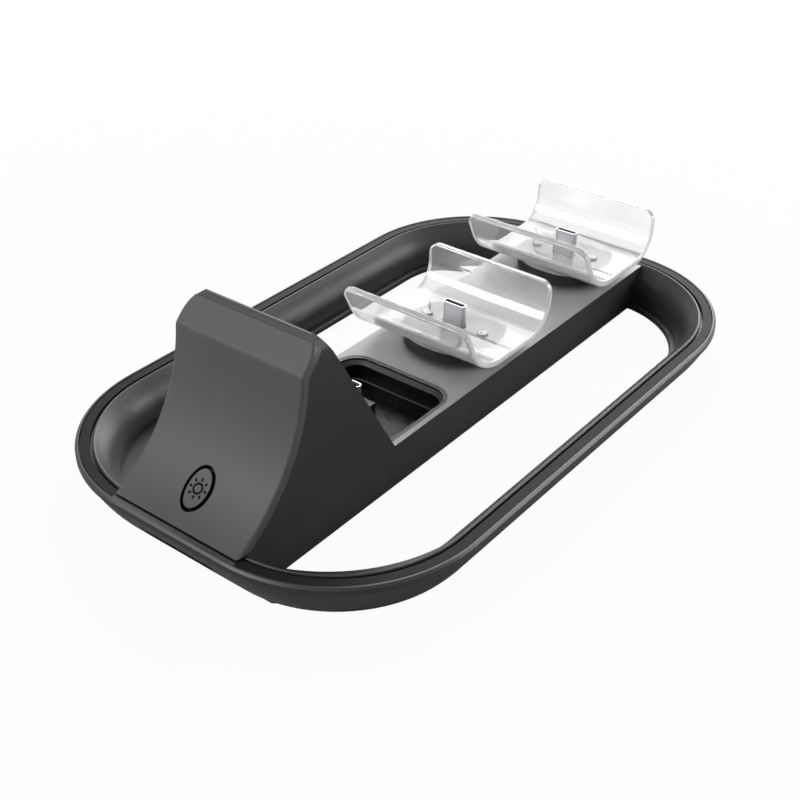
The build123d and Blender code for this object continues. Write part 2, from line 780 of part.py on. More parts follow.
def cradle_pins():
    """Makes the plain domed pins that hold the cradles to their plinths as one group."""
    one = upright(cradle_pin_head, 0, cradle_pin_head_height, 0, 0)
    one = fillet(one.edges().sort_by(Axis.Z)[-1], cradle_pin_head_height / 2)
    one += upright(cradle_pin_diameter, -cradle_pin_length, 0, 0, 0)
    return Compound([Pos(x, plug_y, cradle_top_face) * one for plug_y in (near_plug_y, rear_plug_y)
                     for x in cradle_pin_places])


def base_screws():
    """Makes the screws that hold the base to the spine as one group."""
    one = screw(base_screw_diameter, base_screw_length, base_screw_head, base_screw_head_height)
    return Compound([Pos(x, y, screw_seat) * Rot(180, 0, 0) * one for x, y in base_posts])


def rubber_feet():
    """Makes the foot pads as one group."""
    return Compound(foot_pads(0, floor_bottom + foot_sink, 0))


nodes = {
    "base_pan": base_pan(),
    "ring_top": ring_top(),
    "light_guide": carry_round(strip_section(channel_border + guide_gap, guide_width,
                                             channel_floor + strip_thickness + fit, guide_thickness)),
    "led_strip": carry_round(strip_section(strip_start, strip_width, channel_floor, strip_thickness)),
    "spine_housing": spine_housing(),
    "tower_front_plate": tower_front_plate(),
    "led_button": led_button(),
    "switch_plunger": on_button_axis(plunger_diameter, stem_bottom - plunger_length, stem_bottom),
    "button_switch": button_switch(),
    "switch_board": switch_board(),
    "main_board": main_board(),
    "inlet_shell": inlet_shell(),
    "inlet_core": inlet_core(),
    "inlet_board": inlet_board(),
    "pocket_liner": pocket_liner(),
    "slot_plug_shell": plug_shell(slot_plug_y, liner_bottom, slot_plug_top),
    "slot_plug_core": plug_core(slot_plug_y, liner_bottom, slot_plug_top),
    "slot_plug_board": slot_plug_board(),
    "near_cradle": cradle(near_plug_y),
    "rear_cradle": cradle(rear_plug_y),
    "near_plinth": plinth(near_plug_y),
    "rear_plinth": plinth(rear_plug_y),
    "near_plug_shell": plug_shell(near_plug_y, main_board_top, plug_top),
    "near_plug_core": plug_core(near_plug_y, main_board_top, plug_top),
    "rear_plug_shell": plug_shell(rear_plug_y, main_board_top, plug_top),
    "rear_plug_core": plug_core(rear_plug_y, main_board_top, plug_top),
    "cradle_pins": cradle_pins(),
    "board_screws": board_screws(),
    "base_screws": base_screws(),
    "rubber_feet": rubber_feet(),
}

os.makedirs("parts", exist_ok=True)
for name, solid in nodes.items():
    export_step(solid, f"parts/{name}.step")
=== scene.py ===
"""Dresses the charging dock: finishes, added pieces, the studio and the camera.

Everything is in metres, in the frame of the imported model: +Z up, the tower at the -Y end.
"""
import logging
from dataclasses import dataclass
from enum import Enum
from typing import Any, Mapping, Union

import bpy
import numpy as np
from mathutils import Matrix, Vector


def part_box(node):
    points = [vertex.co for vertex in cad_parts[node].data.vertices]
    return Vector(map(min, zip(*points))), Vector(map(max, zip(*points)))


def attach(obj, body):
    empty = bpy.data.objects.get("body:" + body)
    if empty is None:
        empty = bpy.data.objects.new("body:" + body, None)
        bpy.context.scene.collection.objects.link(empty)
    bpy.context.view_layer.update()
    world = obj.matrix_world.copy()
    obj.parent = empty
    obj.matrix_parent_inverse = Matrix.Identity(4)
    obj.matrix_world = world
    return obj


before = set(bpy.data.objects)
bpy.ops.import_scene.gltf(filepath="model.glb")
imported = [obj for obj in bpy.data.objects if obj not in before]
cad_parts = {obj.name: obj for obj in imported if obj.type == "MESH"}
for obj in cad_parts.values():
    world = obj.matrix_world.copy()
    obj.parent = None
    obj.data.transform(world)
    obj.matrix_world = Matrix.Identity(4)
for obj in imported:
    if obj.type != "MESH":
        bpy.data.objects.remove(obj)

log = logging.getLogger("dock")
Colour = tuple[float, float, float]
Number = Union["Value", float]
MM = 0.001
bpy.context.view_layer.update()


class Body(Enum):
    """The two bodies that pieces ride on."""

    DOCK = "dock"
    BUTTON = "button"


class Value:
    """A shader value: one output socket that takes part in sums, differences and products."""

    def __init__(self, bench: "Bench", socket: bpy.types.NodeSocket) -> None:
        """Keeps the socket and the bench that its node stands on."""
        self.bench = bench
        self.socket = socket

    def _join(self, operation: str, first: Number, second: Number) -> "Value":
        """Adds a Math node on two numbers.

        Args:
            operation: The Math node's operation.
            first: Its first number or value.
            second: Its second number or value.

        Returns:
            The node's result.
        """
        return self.bench.add("ShaderNodeMath", {"operation": operation}, {0: first, 1: second})

    def __add__(self, other: Number) -> "Value":
        """Gives self + other."""
        return self._join("ADD", self, other)

    def __radd__(self, other: Number) -> "Value":
        """Gives other + self."""
        return self._join("ADD", other, self)

    def __sub__(self, other: Number) -> "Value":
        """Gives self - other."""
        return self._join("SUBTRACT", self, other)

    def __rsub__(self, other: Number) -> "Value":
        """Gives other - self."""
        return self._join("SUBTRACT", other, self)

    def __mul__(self, other: Number) -> "Value":
        """Gives self * other."""
        return self._join("MULTIPLY", self, other)

    def __rmul__(self, other: Number) -> "Value":
        """Gives other * self."""
        return self._join("MULTIPLY", other, self)

    def above(self, limit: Number) -> "Value":
        """Gives 1 where the value is over a limit and 0 elsewhere."""
        return self._join("GREATER_THAN", self, limit)

    def at_most(self, limit: Number) -> "Value":
        """Gives the smaller of the value and a limit."""
        return self._join("MINIMUM", self, limit)

    def clamped(self) -> "Value":
        """Gives the value held between 0 and 1."""
        return self._join("MAXIMUM", self, 0.0).at_most(1.0)


class Bench:
    """A node tree with one way to add any node to it."""

    def __init__(self, tree: bpy.types.NodeTree) -> None:
        """Clears the tree that the nodes go into."""
        self.tree = tree
        tree.nodes.clear()

    def add(self, kind: str, settings: Mapping[str, Any] = {}, sockets: Mapping[Any, Any] = {},
            output: Union[int, str] = 0) -> Value:
        """Adds one node.

        Args:
            kind: The node's type.
            settings: Its own settings, set first. "stops" gives a ramp's places and colours.
            sockets: Numbers, colours or values for its inputs, by name or place.
            output: The output that is wanted, by name or place.

        Returns:
            That output as a value.
        """
        node = self.tree.nodes.new(kind)
        for name, setting in settings.items():
            if name == "stops":
                self._set_stops(node.color_ramp, setting)
            else:
                setattr(node, name, setting)
        for name, given in sockets.items():
            if isinstance(given, Value):
                self.tree.links.new(given.socket, node.inputs[name])
            else:
                node.inputs[name].default_value = given
        return Value(self, node.outputs[output] if node.outputs else None)

    @staticmethod
    def _set_stops(ramp: bpy.types.ColorRamp, stops: list[tuple[float, float]]) -> None:
        """Gives a ramp its stops, each a place and a grey."""
        while len(ramp.elements) < len(stops):
            ramp.elements.new(1.0)
        for element, (place, grey) in zip(ramp.elements, stops):
            element.position = place
            element.color = (grey, grey, grey, 1.0)

    def coordinates(self) -> Value:
        """Gives the object coordinates, in metres."""
        return self.add("ShaderNodeTexCoord", output="Object")

    def noise(self, where: Value, size: float, detail: float = 2.0) -> Value:
        """Gives smooth noise of about 0 to 1.

        Args:
            where: The coordinates it is read at.
            size: The size of its lumps in metres.
            detail: How many finer layers it has.

        Returns:
            The noise's value.
        """
        return self.add("ShaderNodeTexNoise", {}, {"Vector": where, "Scale": 1 / size, "Detail": detail})

    def ramp(self, value: Value, stops: list[tuple[float, float]]) -> Value:
        """Gives a value sent through a grey ramp of (place, grey) stops."""
        return self.add("ShaderNodeValToRGB", {"stops": stops}, {"Fac": value})

    def blend(self, share: Number, first: Any, second: Any) -> Value:
        """Gives a colour between two colours, by a share of the second."""
        return self.add("ShaderNodeMix", {"data_type": "RGBA"}, {0: share, 6: first, 7: second}, output=2)

    def dot(self, first: Value, second: Vector) -> Value:
        """Gives the dot product of a vector value and a fixed vector."""
        return self.add("ShaderNodeVectorMath", {"operation": "DOT_PRODUCT"}, {0: first, 1: second},
                        output="Value")

    def bump(self, height: Value, depth: float) -> Value:
        """Gives the normal of a surface raised by a height of 0 to 1 times a depth in metres."""
        return self.add("ShaderNodeBump", {}, {"Height": height, "Distance": depth, "Strength": 1.0})


@dataclass(frozen=True)
class FrontArc:
    """The hollow front of the tower, an arc in side view from its foot to the crease, and the button's place.

    The arc has the radius R = c * c / (8 h) + h / 2 for a chord c and a hollow h, and its centre lies
    R - h from the chord's middle, out in front. A point at a length s up the arc has turned by s / R
    about the centre from the foot.
    """

    seat_gap: float = 0.5 * MM
    crease_run: float = 27.4 * MM
    crease_rise: float = 41.0 * MM
    hollow: float = 6.5 * MM
    button_up_front: float = 11.6 * MM

    def circle(self) -> tuple[np.ndarray, np.ndarray, float]:
        """Gives the arc's foot and centre, each as Y and Z, and its radius."""
        foot = np.array([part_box("tower_front_plate")[0][1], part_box("ring_top")[1][2] + self.seat_gap])
        chord = np.array([self.crease_run, self.crease_rise])
        length = float(np.linalg.norm(chord))
        radius = length * length / (8 * self.hollow) + self.hollow / 2
        outward = np.array([-chord[1], chord[0]]) / length
        return foot, foot + chord / 2 + outward * (radius - self.hollow), radius

    def points(self, across: np.ndarray, up: np.ndarray, lift: float) -> np.ndarray:
        """Lays points on the front, round the button's middle.

        Args:
            across: Distances to the right of the button's middle.
            up: Distances up the arc from the button's middle.
            lift: How far in front of the arc the points lie.

        Returns:
            The points, one row of three for each pair.
        """
        foot, centre, radius = self.circle()
        spoke = foot - centre
        turn = np.arctan2(spoke[1], spoke[0]) + (self.button_up_front + up) / radius
        reach = radius - lift
        return np.stack([across, centre[0] + reach * np.cos(turn), centre[1] + reach * np.sin(turn)], axis=-1)

    def middle_and_slope(self) -> tuple[Vector, Vector]:
        """Gives the button's middle and the direction up the front there."""
        low, middle, high = self.points(np.zeros(3), np.array([-1.0, 0.0, 1.0]) * MM, 0.0)
        return Vector(middle), Vector(high - low).normalized()


FRONT = FrontArc()


def paint(colour: Colour) -> tuple[float, float, float, float]:
    """Gives a colour with full opacity."""
    return (*colour, 1.0)


def new_material(name: str, sockets: Mapping[Any, Any], bench: Bench, material: bpy.types.Material
                 ) -> bpy.types.Material:
    """Ends a material's tree with its shader and output.

    Args:
        name: The material's name.
        sockets: The shader's numbers, colours and values.
        bench: The bench that holds the material's tree.
        material: The material.

    Returns:
        The finished material.
    """
    material.name = name
    shader = bench.add("ShaderNodeBsdfPrincipled", {}, sockets)
    bench.add("ShaderNodeOutputMaterial", {}, {"Surface": shader})
    return material


def open_material() -> tuple[bpy.types.Material, Bench]:
    """Gives a fresh material and the bench of its tree."""
    material = bpy.data.materials.new("finish")
    material.use_nodes = True
    return material, Bench(material.node_tree)


@dataclass(frozen=True)
class MouldedPlastic:
    """Moulded plastic: an even colour with faint flow marks and a fine spark-eroded grain."""

    name: str
    colour: Colour
    roughness: float
    grain: float = 0.35 * MM
    grain_depth: float = 0.008 * MM
    mottle: float = 0.10
    shine: float = 0.40
    flow_size: float = 18 * MM
    gloss_swing: float = 0.08

    def tint(self, bench: Bench, where: Value, flow: Value) -> Value:
        """Gives the colour at a place: slow noise varies it a little.

        Args:
            bench: The bench of the material's tree.
            where: The object coordinates.
            flow: The slow noise.

        Returns:
            The colour.
        """
        darker = tuple(part * (1 - self.mottle) for part in self.colour)
        lighter = tuple(part * (1 + self.mottle) for part in self.colour)
        return bench.blend(flow, paint(darker), paint(lighter))

    def polish(self, bench: Bench) -> dict[str, Number]:
        """Gives the sockets of a polish over the plain surface, none here."""
        return {}

    def make(self) -> bpy.types.Material:
        """Builds the material: slow noise varies colour and gloss, fine noise raises the grain."""
        material, bench = open_material()
        where = bench.coordinates()
        flow = bench.noise(where, self.flow_size, 3.0)
        grain = bench.noise(where, self.grain, 1.0)
        return new_material(self.name, {
            "Base Color": self.tint(bench, where, flow),
            "Roughness": self.roughness - self.gloss_swing / 2 + self.gloss_swing * flow,
            "Specular IOR Level": self.shine,
            "Normal": bench.bump(grain, self.grain_depth),
            **self.polish(bench),
        }, bench, material)


@dataclass(frozen=True)
class TopPolishedPlastic(MouldedPlastic):
    """Moulded plastic with polished low upward faces and a lighter crown that matches the front plate."""

    polish_weight: float = 1.0
    polish_roughness: float = 0.44
    polish_index: float = 1.6
    polish_top: float = 20.0 * MM
    steepness: float = 0.92
    crown: Colour = (0.075, 0.076, 0.078)
    crown_level: float = 60.5 * MM

    def tint(self, bench: Bench, where: Value, flow: Value) -> Value:
        """Gives the crown's colour to all that lies above the crown's level."""
        high = bench.dot(where, Vector((0, 0, 1))).above(self.crown_level)
        return bench.blend(high, super().tint(bench, where, flow), paint(self.crown))

    def polish(self, bench: Bench) -> dict[str, Number]:
        """Puts a clear polish where the surface's own normal looks up, below a level."""
        normal = bench.add("ShaderNodeTexCoord", output="Normal")
        upward = bench.dot(normal, Vector((0, 0, 1))).above(self.steepness)
        high = bench.dot(bench.coordinates(), Vector((0, 0, 1))).above(self.polish_top)
        return {"Coat Weight": self.polish_weight * upward * (1.0 - high),
                "Coat Roughness": self.polish_roughness,
                "Coat IOR": self.polish_index}


@dataclass(frozen=True)
class GrooveShadedPlastic(MouldedPlastic):
    """Moulded plastic with painted shade: black on one side of an oval round the button, where the walls of
    the gap round the button lie in shadow.
    """

    half_width: float = 4.6 * MM
    half_height: float = 6.8 * MM
    shade_inside: bool = True
    # groove_shade: painted shade, black for the shadow on the walls of the gap round the button.
    groove_shade: Colour = (0.004, 0.004, 0.004)

    def tint(self, bench: Bench, where: Value, flow: Value) -> Value:
        """Blackens the plain tint as painted shade on one side of where (x / a)^2 + (y / b)^2, across and up
        the front, passes 1.
        """
        middle, slope = FRONT.middle_and_slope()
        offset = bench.add("ShaderNodeVectorMath", {"operation": "SUBTRACT"}, {0: where, 1: middle})
        across = bench.dot(offset, Vector((1 / self.half_width, 0, 0)))
        up = bench.dot(offset, slope / self.half_height)
        outside = (across * across + up * up).above(1.0)
        share = 1.0 - outside if self.shade_inside else outside
        return bench.blend(share, super().tint(bench, where, flow), paint(self.groove_shade))


@dataclass(frozen=True)
class RecessShadedPlastic(MouldedPlastic):
    """Moulded plastic with painted shade: a black box over the inlet's recess in the front, reaching above
    it, stands in for the shadow inside the recess.
    """

    left: float = -14.5 * MM
    right: float = 12.5 * MM
    rear: float = -100.0 * MM
    top: float = 8.2 * MM
    # recess_shade: painted shade, black for the shadow inside the inlet's recess and a band above it.
    recess_shade: Colour = (0.003, 0.003, 0.003)

    def tint(self, bench: Bench, where: Value, flow: Value) -> Value:
        """Blackens the plain tint in the box that holds the recess, as painted shade."""
        across = bench.dot(where, Vector((1, 0, 0)))
        along = bench.dot(where, Vector((0, 1, 0)))
        height = bench.dot(where, Vector((0, 0, 1)))
        inside = across.above(self.left) * (1.0 - across.above(self.right))
        share = inside * (1.0 - along.above(self.rear)) * (1.0 - height.above(self.top))
        return bench.blend(share, super().tint(bench, where, flow), paint(self.recess_shade))


@dataclass(frozen=True)
class GlossBlack:
    """Polished black plastic with faint smears."""

    name: str
    colour: Colour
    roughness: float
    shine: float = 0.18
    smear_size: float = 9 * MM
    smear_dulling: float = 0.10
    smear_lightening: float = 1.3

    def make(self) -> bpy.types.Material:
        """Builds the material: slow noise dulls the gloss in patches."""
        material, bench = open_material()
        where = bench.coordinates()
        smear = bench.noise(where, self.smear_size, 4.0)
        lighter = tuple(part * self.smear_lightening for part in self.colour)
        return new_material(self.name, {
            "Base Color": bench.blend(smear, paint(self.colour), paint(lighter)),
            "Roughness": self.roughness + self.smear_dulling * smear,
            "Specular IOR Level": self.shine,
        }, bench, material)


@dataclass(frozen=True)
class ClearPlastic:
    """Clear acrylic: bent sheet with a faint veil that is denser in its low floor, and milky at its sides:
    partly frosted sawn edges, partly painted highlight for the light that the sheet carries to its edges.
    """

    name: str
    colour: Colour
    roughness: float
    clearness: float = 1.0
    veil: float = 0.14
    floor_veil: float = 0.14
    floor_level: float = 20.6 * MM
    clear_level: float = 27.0 * MM
    side: float = 23.5 * MM
    side_veil_and_highlight: float = 0.45
    index: float = 1.49
    polish_size: float = 12 * MM
    polish_swing: float = 0.02

    def make(self) -> bpy.types.Material:
        """Builds the material: a mix of clear and milky, by height and by distance from the middle; the milky
        sides are partly painted highlight.
        """
        material, bench = open_material()
        material.name = self.name
        where = bench.coordinates()
        height = bench.dot(where, Vector((0, 0, 1)))
        low = ((self.clear_level - height) * (1 / (self.clear_level - self.floor_level))).clamped()
        across = bench.dot(where, Vector((1 / self.side, 0, 0)))
        # Past the side distance the sheet turns milky: frosted sawn edges and painted highlight.
        side = (across * across).above(1.0)
        polish = bench.noise(where, self.polish_size, 2.0)
        gloss = self.roughness + self.polish_swing * polish
        clear = bench.add("ShaderNodeBsdfPrincipled", {}, {
            "Base Color": paint(self.colour), "Roughness": gloss,
            "Transmission Weight": self.clearness, "IOR": self.index})
        milky = bench.add("ShaderNodeBsdfPrincipled", {}, {
            "Base Color": paint(self.colour), "Roughness": gloss})
        share = (self.veil + self.floor_veil * low + self.side_veil_and_highlight * side).clamped()
        mixed = bench.add("ShaderNodeMixShader", {}, {0: share, 1: clear, 2: milky})
        bench.add("ShaderNodeOutputMaterial", {}, {"Surface": mixed})
        return material


@dataclass(frozen=True)
class PlatedMetal:
    """Bright plated or bare metal with fine drawing lines along one direction."""

    name: str
    colour: Colour
    roughness: float
    line: Vector = Vector((1, 1, 12))
    line_size: float = 0.5 * MM
    line_depth: float = 0.004 * MM
    line_dulling: float = 0.12
    line_darkening: float = 0.8

    def make(self) -> bpy.types.Material:
        """Builds the material: stretched noise gives drawing lines in gloss and height."""
        material, bench = open_material()
        where = bench.coordinates()
        drawn = bench.add("ShaderNodeVectorMath", {"operation": "MULTIPLY"}, {0: where, 1: self.line})
        lines = bench.noise(drawn, self.line_size, 2.0)
        darker = tuple(part * self.line_darkening for part in self.colour)
        return new_material(self.name, {
            "Base Color": bench.blend(lines, paint(darker), paint(self.colour)),
            "Roughness": self.roughness + self.line_dulling * lines,
            "Metallic": 1.0,
            "Normal": bench.bump(lines, self.line_depth),
        }, bench, material)


@dataclass(frozen=True)
class CircuitBoard:
    """Green board: solder mask with slightly raised copper tracks."""

    name: str
    mask: Colour
    track: Colour
    bands: float = 160.0
    bending: float = 4.0
    track_edges: tuple[tuple[float, float], ...] = ((0.60, 0.0), (0.66, 1.0))
    roughness: float = 0.45
    track_gloss: float = 0.1
    track_height: float = 0.02 * MM

    def make(self) -> bpy.types.Material:
        """Builds the material: bands of a wave bent by noise are the tracks."""
        material, bench = open_material()
        where = bench.coordinates()
        bands = bench.add("ShaderNodeTexWave", {"wave_type": "BANDS", "bands_direction": "DIAGONAL"},
                          {"Vector": where, "Scale": self.bands, "Distortion": self.bending,
                           "Detail": 0.0}, output="Fac")
        tracks = bench.ramp(bands, list(self.track_edges))
        return new_material(self.name, {
            "Base Color": bench.blend(tracks, paint(self.mask), paint(self.track)),
            "Roughness": self.roughness - self.track_gloss * tracks,
            "Normal": bench.bump(tracks, self.track_height),
        }, bench, material)


class Finish(Enum):
    """The finishes of the dock and of the added trim."""

    # The hull's finish carries painted shade over the inlet's recess.
    BLACK_HULL = RecessShadedPlastic("satin_hull", (0.026, 0.0263, 0.027), 0.42, shine=0.26)
    BLACK_RING = MouldedPlastic("satin_ring", (0.022, 0.0222, 0.0229), 0.40, shine=0.36)
    BLACK_SPINE = TopPolishedPlastic("satin_spine", (0.036, 0.0365, 0.0372), 0.42, shine=0.12)
    # The plate and the button carry painted shade on the walls of the gap round the button.
    BLACK_PLATE = GrooveShadedPlastic("satin_plate", (0.075, 0.076, 0.078), 0.46, shine=0.25, half_width=4.75 * MM,
                                 half_height=6.95 * MM)
    BLACK_BUTTON = GrooveShadedPlastic("satin_button", (0.073, 0.074, 0.076), 0.46, shine=0.25,
                                  half_width=3.5 * MM, half_height=5.7 * MM, shade_inside=False)
    BLACK_SILL = MouldedPlastic("satin_sill", (0.060, 0.0605, 0.062), 0.45, shine=0.20)
    SLOT_BAND = MouldedPlastic("slot_band", (0.045, 0.0455, 0.0465), 0.45, shine=0.15)
    LEDGE_LINE = MouldedPlastic("ledge_line", (0.050, 0.0505, 0.0515), 0.30, shine=0.50)
    SMOKED_STRIP = MouldedPlastic("smoked_guide", (0.010, 0.0102, 0.0106), 0.50, grain_depth=0.002 * MM,
                                  shine=0.07)
    GLOSS_BLACK = GlossBlack("polished_tray", (0.004, 0.004, 0.0042), 0.22)
    CLEAR = ClearPlastic("clear_acrylic", (0.97, 0.975, 0.98), 0.02)
    PLUG_METAL = PlatedMetal("bright_plating", (0.62, 0.63, 0.65), 0.26)
    PLUG_INSULATOR = MouldedPlastic("black_insulator", (0.012, 0.012, 0.013), 0.45)
    BOARD = CircuitBoard("green_board", (0.010, 0.075, 0.028), (0.030, 0.150, 0.055))
    CONTACT_GOLD = PlatedMetal("contact_gold", (0.80, 0.58, 0.26), 0.24)
    SCREW_STEEL = PlatedMetal("zinc_screw", (0.50, 0.50, 0.52), 0.34, Vector((1, 1, 1)))
    PRINT = MouldedPlastic("sign_print", (0.006, 0.006, 0.0065), 0.70, shine=0.05)
    FOOT_RUBBER = MouldedPlastic("soft_foot", (0.018, 0.018, 0.019), 0.80, 0.6 * MM, 0.02 * MM)

    def material(self) -> bpy.types.Material:
        """Gives the finish's material, built once."""
        return bpy.data.materials.get(self.value.name) or self.value.make()


def dress(finish: Finish, *names: str) -> None:
    """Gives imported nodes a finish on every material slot.

    Args:
        finish: The finish.
        names: The nodes' names.
    """
    for name in names:
        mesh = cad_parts[name].data
        mesh.materials.clear()
        mesh.materials.append(finish.material())
        log.info("%s: %s", name, finish.value.name)


def grid_faces(rows: int, columns: int, close_rows: bool, close_columns: bool) -> np.ndarray:
    """Gives the corners of a grid's four-sided faces.

    Point (i, j) of the grid has the number i * columns + j. Each face joins (i, j), (i + 1, j),
    (i + 1, j + 1) and (i, j + 1), and a closed direction also joins its last line to its first.

    Args:
        rows: How many lines of points the grid has.
        columns: How many points each line has.
        close_rows: Whether the last line joins the first.
        close_columns: Whether each line's last point joins its first.

    Returns:
        An array of four point numbers per face.
    """
    i = np.arange(rows if close_rows else rows - 1)[:, None]
    j = np.arange(columns if close_columns else columns - 1)[None, :]
    next_i = (i + 1) % rows
    next_j = (j + 1) % columns
    corners = np.stack(np.broadcast_arrays(i * columns + j, next_i * columns + j,
                                           next_i * columns + next_j, i * columns + next_j), axis=-1)
    return corners.reshape(-1, 4)


def new_piece(name: str, points: np.ndarray, faces: np.ndarray, finish: Finish, body: Body,
              ends: tuple[list[int], ...] = ()) -> bpy.types.Object:
    """Makes an object of points and four-sided faces and puts it on a body.

    Args:
        name: The piece's name.
        points: The points, in metres.
        faces: Four point numbers per face.
        finish: The piece's finish.
        body: The body that it rides on.
        ends: Point numbers of faces with more sides that close open ends.

    Returns:
        The new object.
    """
    mesh = bpy.data.meshes.new(name)
    mesh.from_pydata(points.reshape(-1, 3).tolist(), [], faces.tolist() + list(ends))
    mesh.materials.append(finish.material())
    piece = bpy.data.objects.new(name, mesh)
    bpy.context.scene.collection.objects.link(piece)
    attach(piece, body.value)
    log.info("%s: %d faces", name, len(faces))
    return piece


def blocks(low: np.ndarray, high: np.ndarray) -> tuple[np.ndarray, np.ndarray]:
    """Gives the points and faces of upright boxes.

    Corner (a, b, c) of a box, each 0 or 1, has the number 4a + 2b + c and lies at low + (a, b, c) * size.

    Args:
        low: The boxes' lowest corners, one row of three each.
        high: The boxes' highest corners.

    Returns:
        The points and the outward faces.
    """
    corners = np.stack(np.meshgrid([0, 1], [0, 1], [0, 1], indexing="ij"), axis=-1).reshape(8, 3)
    points = low[:, None, :] + corners[None] * (high - low)[:, None, :]
    sides = np.array([[0, 1, 3, 2], [4, 6, 7, 5], [0, 4, 5, 1], [2, 3, 7, 6], [0, 2, 6, 4], [1, 5, 7, 3]])
    faces = sides[None] + 8 * np.arange(len(low))[:, None, None]
    return points.reshape(-1, 3), faces.reshape(-1, 4)


@dataclass
class Contacts:
    """Two facing rows of contact strips, as plugs and inlets of the small reversible kind have."""

    count: int = 12
    pitch: float = 0.5 * MM
    width: float = 0.26 * MM
    thickness: float = 0.10 * MM
    sink: float = 0.04 * MM
    length: float = 3.6 * MM
    setback: float = 0.8 * MM
    mouth_half: float = 0.45 * MM
    tongue_half: float = 0.35 * MM

    def places(self) -> tuple[np.ndarray, np.ndarray]:
        """Gives each strip's distance along its row and its row's side, -1 or 1."""
        along = self.pitch * (np.arange(self.count) - (self.count - 1) / 2)
        return np.repeat(along, 2), np.tile([-1.0, 1.0], self.count)

    def in_plug(self, name: str, core: str) -> bpy.types.Object:
        """Lines the mouth of an upright plug: strips stand on the mouth's two long walls.

        Args:
            name: The new piece's name.
            core: The node of the plug's insulator.

        Returns:
            The new piece.
        """
        lowest, highest = (np.array(corner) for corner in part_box(core))
        middle = (lowest + highest) / 2
        along, side = self.places()
        depth = side * (self.mouth_half + self.sink - self.thickness / 2)
        centre = np.stack([middle[0] + along, middle[1] + depth,
                           np.full_like(along, highest[2] - self.setback - self.length / 2)], axis=-1)
        half = np.array([self.width, self.thickness, self.length]) / 2
        return new_piece(name, *blocks(centre - half, centre + half), Finish.CONTACT_GOLD, Body.DOCK)

    def on_tongue(self, name: str, core: str) -> bpy.types.Object:
        """Lays strips on the upper and lower face of the inlet's tongue.

        Args:
            name: The new piece's name.
            core: The node of the inlet's insulator.

        Returns:
            The new piece.
        """
        lowest, highest = (np.array(corner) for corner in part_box(core))
        middle = (lowest + highest) / 2
        along, side = self.places()
        rise = side * (self.tongue_half - self.sink + self.thickness / 2)
        centre = np.stack([middle[0] + along, np.full_like(along, lowest[1] + self.setback + self.length / 2),
                           middle[2] + rise], axis=-1)
        half = np.array([self.width, self.length, self.thickness]) / 2
        return new_piece(name, *blocks(centre - half, centre + half), Finish.CONTACT_GOLD, Body.DOCK)


@dataclass
class Ring:
    """The ring: base, upper ring, light strip and feet."""

    def dress(self) -> None:
        """Gives the ring's nodes their finishes."""
        dress(Finish.BLACK_HULL, "base_pan")
        dress(Finish.BLACK_RING, "ring_top")
        dress(Finish.SMOKED_STRIP, "light_guide")
        dress(Finish.BOARD, "led_strip")
        dress(Finish.FOOT_RUBBER, "rubber_feet")
        dress(Finish.SCREW_STEEL, "base_screws")


@dataclass
class SpineAndTower:
    """The spine's housing, the tower's front plate and what stands inside them."""

    sill_half: float = 22.9 * MM
    sill_front: float = 1.12 * MM
    sill_rear: float = 2.2 * MM
    sill_height: float = 0.17 * MM

    def front_sill(self) -> bpy.types.Object:
        """Closes the light channel in front of the tower's foot with a thin flat strip."""
        lowest, highest = (np.array(corner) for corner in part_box("ring_top"))
        low = np.array([[-self.sill_half, lowest[1] + self.sill_front, highest[2] - self.sill_height]])
        high = np.array([[self.sill_half, lowest[1] + self.sill_rear, highest[2]]])
        return new_piece("front_sill", *blocks(low, high), Finish.BLACK_SILL, Body.DOCK)

    def dress(self) -> None:
        """Gives the housing's nodes their finishes and closes the channel at the tower's foot."""
        self.front_sill()
        dress(Finish.BLACK_SPINE, "spine_housing")
        dress(Finish.BLACK_PLATE, "tower_front_plate")
        dress(Finish.BOARD, "main_board", "switch_board", "slot_plug_board", "inlet_board")
        dress(Finish.SCREW_STEEL, "board_screws")
        dress(Finish.PLUG_INSULATOR, "button_switch")


@dataclass
class LightButton:
    """The oval button in the tower's hollow front, with a printed light sign on its face."""

    front: FrontArc = FRONT
    lift: float = 0.23 * MM
    disc_radius: float = 1.40 * MM
    line_width: float = 0.62 * MM
    ray_start: float = 2.10 * MM
    ray_end: float = 3.10 * MM
    rays: int = 8
    ring_points: int = 48

    def sign_ring(self) -> bpy.types.Object:
        """Prints the sign's ring: a circle of two radii, a line's width apart."""
        angle = np.linspace(2 * np.pi, 0, self.ring_points, endpoint=False)[:, None]
        radius = self.disc_radius + self.line_width * np.array([-0.5, 0.5])[None, :]
        points = self.front.points(radius * np.cos(angle), radius * np.sin(angle), self.lift)
        faces = grid_faces(self.ring_points, 2, True, False)
        return new_piece("sign_ring", points, faces, Finish.PRINT, Body.BUTTON)

    def sign_rays(self) -> bpy.types.Object:
        """Prints the sign's rays: strips of one width along spokes that are evenly turned."""
        angle = (2 * np.pi / self.rays * np.arange(self.rays))[:, None, None]
        along = np.linspace(self.ray_start, self.ray_end, 4)[None, :, None]
        aside = self.line_width * np.array([-0.5, 0.5])[None, None, :]
        points = self.front.points(along * np.cos(angle) - aside * np.sin(angle),
                                   along * np.sin(angle) + aside * np.cos(angle), self.lift)
        faces = grid_faces(4, 2, False, False)[None] + 8 * np.arange(self.rays)[:, None, None]
        return new_piece("sign_rays", points, faces.reshape(-1, 4), Finish.PRINT, Body.BUTTON)

    def dress(self) -> None:
        """Gives the button's nodes their finishes and prints the sign."""
        dress(Finish.BLACK_BUTTON, "led_button")
        dress(Finish.PLUG_INSULATOR, "switch_plunger")
        self.sign_ring()
        self.sign_rays()


